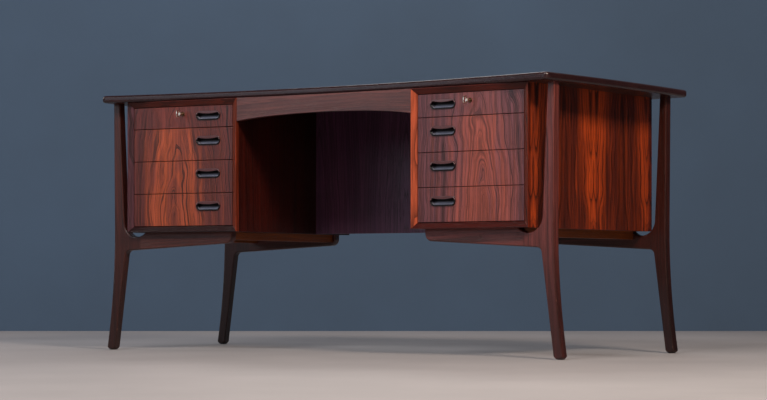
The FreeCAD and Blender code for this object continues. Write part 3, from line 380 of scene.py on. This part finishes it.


# Legs, bearers and stretchers
# Four sculpted legs of solid rosewood, tenoned into the tabletop. A bearer arm is tenoned into each knuckle,
# and two stretchers under each pedestal join its front bearer to its rear one.
# The rear legs and their bearers are tinted darker than the front ones as painted shade under the desk; the
# left ones are darker than the right ones.
LEG_WOOD = {
    "front left": dict(ground=(60, 28, 25), flame=(84, 39, 31), line=(22, 11, 9)),
    "rear left": dict(ground=(54, 22, 19), flame=(74, 31, 25), line=(18, 9, 8)),
    "front right": dict(ground=(89, 45, 43), flame=(119, 58, 53), line=(24, 11, 9)),
    "rear right": dict(ground=(50, 20, 16), flame=(74, 29, 22), line=(20, 9, 7)),
}
LEG_CUT = dict(figure=0.8, wander=0.03, spread=0.8, gleam=0.4)
RAIL_WOOD = dict(ground=(116, 54, 13), flame=(142, 70, 19), line=(52, 26, 10))
SHADE_AND_WEAR_HEIGHT = 0.3
for side, sign in SIDES.items():
    for end in ("front", "rear"):
        lot = 12.0 + sign * 2.1 + (0.9 if end == "front" else 0.0)
        tints = LEG_WOOD[f"{end} {side}"]
        low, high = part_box(f"{end}_{side}_leg")
        # Each leg is darkened towards its foot as painted shade, and knocked pale in spots by wear.
        leg = rosewood(f"{end} {side} leg", (low + high) / 2, UP, front_of[side], lot=lot,
                       heart=(0.35, 0.3), lean=0.05, satin=0.34,
                       shade_and_wear=SHADE_AND_WEAR_HEIGHT - (low.z + high.z) / 2, **tints, **LEG_CUT)
        dress(leg, f"{end}_{side}_leg")
        low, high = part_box(f"{end}_{side}_bearer")
        bearer = rosewood(f"{end} {side} bearer", (low + high) / 2, width_of[side], front_of[side],
                          lot=lot + 5.0, heart=(0.3, 0.3), lean=0.04, **tints, **LEG_CUT)
        dress(bearer, f"{end}_{side}_bearer")
    rail = rosewood(side + " stretchers", middle_of[side], front_of[side], UP, lot=20.0 + sign,
                    heart=(0.4, 0.3), figure=0.4, wander=0.03, spread=0.8, satin=0.45, gleam=0.3, **RAIL_WOOD)
    dress(rail, side + "_stretchers")


# Wood screws
# Countersunk steel screws with slotted heads, driven up from below: eight hold the tabletop on the pedestals
# and eight, sunk in the bearers, hold the pedestals on them.
def metal(name, tint, roughness):
    """Bare or plated metal with fine rubbing marks."""
    made, finish = new_finish(name)
    place = finish.node("TexCoord", None, None, "Object")
    cloud = fibres(finish, place, (160.0, 160.0, 160.0), 3.0)
    rub = fibres(finish, place, (2600.0, 700.0, 700.0), 2.0)
    colour = (0.8 + cloud * 0.4).dim(shade(*tint))
    close_finish(finish, colour, roughness + (rub - 0.5) * 0.12, rub, relief=0.00004, Metallic=1.0)
    return made


def separate_boxes(mesh):
    """The lowest and highest corner of each separate solid in a mesh, in the order of their places."""
    merged = bmesh.new()
    merged.from_mesh(mesh)
    bmesh.ops.remove_doubles(merged, verts=merged.verts, dist=1e-6)
    waiting = set(merged.verts)
    boxes = []
    while waiting:
        found = [waiting.pop()]
        for corner in found:
            for edge in corner.link_edges:
                other = edge.other_vert(corner)
                if other in waiting:
                    waiting.discard(other)
                    found.append(other)
        places = [corner.co for corner in found]
        boxes.append((Vector(map(min, zip(*places))), Vector(map(max, zip(*places)))))
    merged.free()
    return sorted(boxes, key=lambda ends: tuple(ends[0]))


def grow(tree, kind, settings=None, values=None):
    """One node of a shape, with its settings and the values or links of its sockets."""
    made = tree.nodes.new(kind)
    for name, value in (settings or {}).items():
        setattr(made, name, value)
    for name, value in (values or {}).items():
        if isinstance(value, bpy.types.NodeSocket):
            tree.links.new(value, made.inputs[name])
        else:
            made.inputs[name].default_value = value
    return made


def screw_shape():
    """A tree that stands a slotted screw on each point, head down, as tall as the point's reach."""
    tree = bpy.data.node_groups.new("slotted screw", "GeometryNodeTree")
    tree.interface.new_socket("Points", in_out="INPUT", socket_type="NodeSocketGeometry")
    for label, kind in (("Head Radius", "Float"), ("Head Height", "Float"), ("Shank Radius", "Float"),
                        ("Slot Size", "Vector"), ("Seed", "Int"), ("Finish", "Material")):
        tree.interface.new_socket(label, in_out="INPUT", socket_type="NodeSocket" + kind)
    tree.interface.new_socket("Screws", in_out="OUTPUT", socket_type="NodeSocketGeometry")
    given = tree.nodes.new("NodeGroupInput").outputs
    cone = grow(tree, "GeometryNodeMeshCone", None, {
        "Vertices": 24, "Radius Top": given["Shank Radius"], "Radius Bottom": given["Head Radius"],
        "Depth": given["Head Height"]})
    slot = grow(tree, "GeometryNodeMeshCube", None, {"Size": given["Slot Size"]})
    head = grow(tree, "GeometryNodeMeshBoolean", {"operation": "DIFFERENCE"},
                {"Mesh 1": cone.outputs["Mesh"], "Mesh 2": slot.outputs["Mesh"]})
    rod = grow(tree, "GeometryNodeMeshCylinder", None,
               {"Vertices": 16, "Radius": given["Shank Radius"], "Depth": 1.0})
    shank = grow(tree, "GeometryNodeTransform", None,
                 {"Geometry": rod.outputs["Mesh"], "Translation": (0.0, 0.0, 0.5)})
    reach = grow(tree, "GeometryNodeInputNamedAttribute", {"data_type": "FLOAT"}, {"Name": "reach"})
    drawn = grow(tree, "ShaderNodeCombineXYZ", None, {0: 1.0, 1: 1.0, 2: reach.outputs[0]})
    swing = grow(tree, "FunctionNodeRandomValue", {"data_type": "FLOAT"},
                 {2: 0.0, 3: math.pi, "Seed": given["Seed"]})
    about = grow(tree, "ShaderNodeCombineXYZ", None, {2: swing.outputs[1]})
    turned = grow(tree, "FunctionNodeEulerToRotation", None, {0: about.outputs[0]})
    heads = grow(tree, "GeometryNodeInstanceOnPoints", None, {
        "Points": given["Points"], "Instance": head.outputs[0], "Rotation": turned.outputs[0]})
    shanks = grow(tree, "GeometryNodeInstanceOnPoints", None, {
        "Points": given["Points"], "Instance": shank.outputs[0], "Scale": drawn.outputs[0]})
    both = grow(tree, "GeometryNodeJoinGeometry", None, {0: heads.outputs[0]})
    tree.links.new(shanks.outputs[0], both.inputs[0])
    solid = grow(tree, "GeometryNodeRealizeInstances", None, {0: both.outputs[0]})
    steel = grow(tree, "GeometryNodeSetMaterial", None,
                 {"Geometry": solid.outputs[0], "Material": given["Finish"]})
    grow(tree, "NodeGroupOutput", None, {0: steel.outputs[0]})
    return tree


SCREW_SIZES = {
    "Head Radius": 0.0045,
    "Head Height": 0.003,
    "Shank Radius": 0.00225,
    "Slot Size": (0.012, 0.0012, 0.0024),
    "Seed": 5,
    "Finish": metal("screw steel", (150, 146, 138), 0.34),
}
spots = separate_boxes(nodes["wood_screws"].data)
points = bpy.data.meshes.new("wood_screw_heads")
points.from_pydata([((low.x + high.x) / 2, (low.y + high.y) / 2, low.z) for low, high in spots], [], [])
reaches = points.attributes.new("reach", "FLOAT", "POINT")
reaches.data.foreach_set("value", [high.z - low.z for low, high in spots])
screws = bpy.data.objects.new("slotted_screws", points)
bpy.context.scene.collection.objects.link(screws)
standing = screws.modifiers.new("screws", "NODES")
standing.node_group = screw_shape()
for socket in standing.node_group.interface.items_tree:
    if socket.name in SCREW_SIZES:
        standing[socket.identifier] = SCREW_SIZES[socket.name]
made = bpy.data.meshes.new_from_object(screws.evaluated_get(bpy.context.evaluated_depsgraph_get()))
screws.modifiers.remove(standing)
screws.data = made
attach(screws, "desk_frame")
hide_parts("wood_screws")


# Drawers
# Four to a pedestal. The fronts are cut from one run of veneer, so its arches climb over all four of them,
# and the flame is tinted dimmer in the top one as painted shade under the tabletop's overhang.
# The boxes behind are pale timber, dovetailed and grooved for the runners.
FRONTS = {
    "left": dict(lot=2.6, heart=(0.015, 0.035), ground=(100, 45, 40), flame=(182, 82, 44), line=(18, 7, 6),
                 wander=0.09, swirl=0.035, spread=0.1, soft=0.6, gleam=0.4),
    "right": dict(lot=9.9, heart=(-0.025, 0.03), ground=(108, 62, 68), flame=(157, 76, 60), line=(18, 8, 8),
                  wander=0.07, swirl=0.03, spread=0.1, soft=0.65, gleam=0.4),
}
# The top drawers' dimmer flames are painted shade under the tabletop's overhang.
TOP_FLAMES = {"left": (128, 56, 44), "right": (128, 66, 60)}
BOX_PALE, BOX_DARK = (196, 152, 108), (150, 104, 68)
for side, sign in SIDES.items():
    low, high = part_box(side + "_drawer_4_front")
    centre = Vector((middle_of[side].x, middle_of[side].y, low.z))
    run = rosewood(side + " drawer fronts", centre, UP, front_of[side], lean=0.1, **FRONTS[side])
    top_run = rosewood(side + " top drawer front", centre, UP, front_of[side], lean=0.1,
                       **{**FRONTS[side], "flame": TOP_FLAMES[side]})
    pale = beech(side + " drawer boxes", middle_of[side], front_of[side], width_of[side], lot=4.0 + sign,
                 ground=BOX_PALE, dark=BOX_DARK)
    for number in range(1, 5):
        dress(top_run if number == 1 else run, f"{side}_drawer_{number}_front")
        dress(pale, f"{side}_drawer_{number}_box")


# Handles
# Moulded black pulls let into the drawer fronts, each a dished pocket with a rolled rim and a bowed lip.
# The rim and the lip are rubbed to a gloss, the lip is tinted brown as a painted reflection, and the pocket
# behind them is dull, black as painted shade under the lip and greyer towards its floor as painted light.
# The moulding is black; the lip's brown is a painted reflection, and the pocket's grey is painted light on its
# floor.
BLACK, LIP_REFLECTION_BROWN, PAINTED_FLOOR_GREY = (16, 9, 10), (84, 54, 56), (142, 142, 158)
RUB_DEPTHS, LIP_DEPTHS = (0.007, 0.004), (0.0012, 0.0004)
LIP_HEIGHTS, PAINTED_LIGHT_HEIGHTS = (0.002, 0.004), (-0.006, 0.001)


def moulded(name, out, rim, middle):
    """Moulded plastic: coated where it is rubbed, as far out as the rim, tinted brown as a painted reflection
    on the lip above the middle, and dull in the pocket behind, black as painted shade under the lip and grey
    with painted light below the middle.

    Depths are counted back from the rim and heights up from the middle, where each tint starts and is full."""
    made, finish = new_finish(name)
    place = finish.node("TexCoord", None, None, "Object")
    proud = finish.node("VectorMath", {"operation": "DOT_PRODUCT"}, {0: place, 1: out}, 1)
    cloud = fibres(finish, place, (60.0, 60.0, 60.0), 3.0)
    grit = fibres(finish, place, (1800.0, 1800.0, 1800.0), 1.0)
    height = finish.node("VectorMath", {"operation": "DOT_PRODUCT"}, {0: place, 1: UP}, 1)
    rubbed = proud.step(rim - RUB_DEPTHS[0], rim - RUB_DEPTHS[1])
    # Painted light and shade: the pocket is grey below the middle and black above it, as shade under the lip.
    painted_floor_light = height.step(middle + PAINTED_LIGHT_HEIGHTS[0], middle + PAINTED_LIGHT_HEIGHTS[1], 1.0, 0.0)
    # Painted reflection: the front of the lip above the middle is tinted brown.
    painted_lip_reflection = proud.step(rim - LIP_DEPTHS[0], rim - LIP_DEPTHS[1])
    painted_lip_reflection = painted_lip_reflection * height.step(middle + LIP_HEIGHTS[0], middle + LIP_HEIGHTS[1])
    colour = painted_floor_light.blend(shade(*BLACK), shade(*PAINTED_FLOOR_GREY))
    colour = painted_lip_reflection.blend(rubbed.blend(colour, shade(*BLACK)), shade(*LIP_REFLECTION_BROWN))
    colour = (0.7 + cloud * 0.6).dim(colour)
    roughness = rubbed.step(0.0, 1.0, 0.55, 0.3) + (cloud - 0.5) * 0.12
    close_finish(finish, colour, roughness, grit, relief=0.00003, Specular_IOR_Level=0.2,
                 Coat_Weight=rubbed * 0.35, Coat_Roughness=0.06)
    return made


for side in SIDES:
    for number in range(1, 5):
        name = f"{side}_drawer_{number}_handle"
        low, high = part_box(name)
        rim = max(front_of[side].dot(corner.co) for corner in nodes[name].data.vertices)
        dress(moulded(name.replace("_", " "), front_of[side], rim, (low.z + high.z) / 2), name)


# Locks and keys
# A plated key in the lock of each top drawer, with a small bronze escutcheon let in round it. The brass case
# and its bolt sit behind the front.
plated = metal("key nickel", (224, 212, 196), 0.32)
brass = metal("lock brass", (186, 148, 92), 0.32)
bronze = metal("escutcheon bronze", (84, 58, 40), 0.4)
for side in SIDES:
    dress(plated, side + "_key")
    dress(bronze, side + "_escutcheon")
    dress(brass, side + "_lock_case", side + "_lock_bolt")


# Floor, light and camera
# A plain pale floor and a plain backdrop square to the view, under soft studio light, seen from where the
# photograph was taken. Both sheets are clear from behind, so they never stand before another view.
VIEW_TURN = math.radians(32.234)
EYE = Vector((3.3117, -5.2736, 0.2129))
AHEAD = Vector((-math.sin(VIEW_TURN), math.cos(VIEW_TURN), 0.0))
ASIDE = Vector((math.cos(VIEW_TURN), math.sin(VIEW_TURN), 0.0))


def stage_sheet(name, middle, wide, tall, tint, roughness):
    """A flat sheet of the studio, a little uneven in tone, painted on the side that faces the object."""
    sheet = bpy.data.meshes.new(name)
    corners = [middle + wide * x + tall * y for x, y in ((-1, -1), (1, -1), (1, 1), (-1, 1))]
    sheet.from_pydata([tuple(corner) for corner in corners], [], [(0, 1, 2, 3)])
    made, finish = new_finish(name + " paint")
    place = finish.node("TexCoord", None, None, "Object")
    cloud = fibres(finish, place, (1.7, 1.7, 1.7), 6.0, 0.6)
    painted = finish.node("BsdfPrincipled", None, {
        "Base Color": (0.8 + cloud * 0.4).dim(shade(*tint)), "Roughness": roughness + (cloud - 0.5) * 0.1})
    behind = finish.node("NewGeometry", None, None, "Backfacing")
    shown = finish.node("MixShader", None, {0: behind, 1: painted, 2: finish.node("BsdfTransparent")})
    finish.node("OutputMaterial", None, {"Surface": shown})
    sheet.materials.append(made)
    hung = bpy.data.objects.new(name, sheet)
    bpy.context.scene.collection.objects.link(hung)


WALL_AT, WALL_REACH, WALL_TOP, FLOOR_REACH = 8.45, 5.0, 4.0, 9.0
FLOOR_TINT, WALL_TINT, DIM_ROOM = (160, 155, 157), (67, 86, 109), (28, 32, 38)
stage_sheet("floor", Vector((0, 0, 0)), X * FLOOR_REACH, Y * FLOOR_REACH, FLOOR_TINT, 0.6)
wall = EYE + AHEAD * WALL_AT
wall.z = WALL_TOP / 2
stage_sheet("backdrop", wall, ASIDE * WALL_REACH, UP * (WALL_TOP / 2), WALL_TINT, 0.85)

world = bpy.data.worlds.new("studio")
world.use_nodes = True
world.node_tree.nodes["Background"].inputs["Color"].default_value = shade(*DIM_ROOM)
world.node_tree.nodes["Background"].inputs["Strength"].default_value = 1.0
bpy.context.scene.world = world

# Each lamp's place, width and height in metres, its watts and its colour. All of them face the desk's middle.
AIM = Vector((0, 0, 0.45))
LAMPS = (
    ("key", (0.4, -3.6, 3.4), 1.8, 1.2, 100.0, (1.0, 0.98, 0.95)),
    ("card", (-2.4, -4.7, 2.1), 3.0, 2.2, 43.0, (0.72, 0.86, 1.0)),
    ("side", (3.0, -2.0, 3.0), 0.8, 0.8, 130.0, (1.0, 0.84, 0.68)),
    ("front right", (3.0, -3.4, 1.4), 1.0, 1.0, 10.0, (1.0, 0.86, 0.72)),
    ("left edge", (-3.6, -1.0, 2.0), 0.6, 1.4, 30.0, (1.0, 0.97, 0.94)),
    ("overhead", (0.0, 0.6, 3.2), 2.4, 1.6, 6.0, (1.0, 1.0, 1.0)),
    ("rear", (-0.7, 1.45, 2.3), 1.6, 0.7, 13.0, (1.0, 0.98, 0.95)),
)
for name, spot, width, height, power, tint in LAMPS:
    lamp = bpy.data.lights.new(name, "AREA")
    lamp.shape = "RECTANGLE"
    lamp.size, lamp.size_y, lamp.energy, lamp.color = width, height, power, tint
    hung = bpy.data.objects.new(name, lamp)
    hung.location = spot
    hung.rotation_euler = (AIM - Vector(spot)).to_track_quat("-Z", "Y").to_euler()
    bpy.context.scene.collection.objects.link(hung)

FRAME_WIDTH, FRAME_HEIGHT = 767, 400
FOCAL, CENTRE_X, CENTRE_Y = 2202.8, 382.42, 275.53
lens = bpy.data.cameras.new("camera")
lens.sensor_width = 36.0
lens.lens = FOCAL / FRAME_WIDTH * lens.sensor_width
lens.shift_x = (FRAME_WIDTH / 2 - CENTRE_X) / FRAME_WIDTH
lens.shift_y = (CENTRE_Y - FRAME_HEIGHT / 2) / FRAME_WIDTH
camera = bpy.data.objects.new("camera", lens)
camera.location = EYE
camera.rotation_euler = (math.radians(90), 0, VIEW_TURN)
bpy.context.scene.collection.objects.link(camera)
bpy.context.scene.camera = camera
bpy.context.scene.view_settings.view_transform = "Standard"
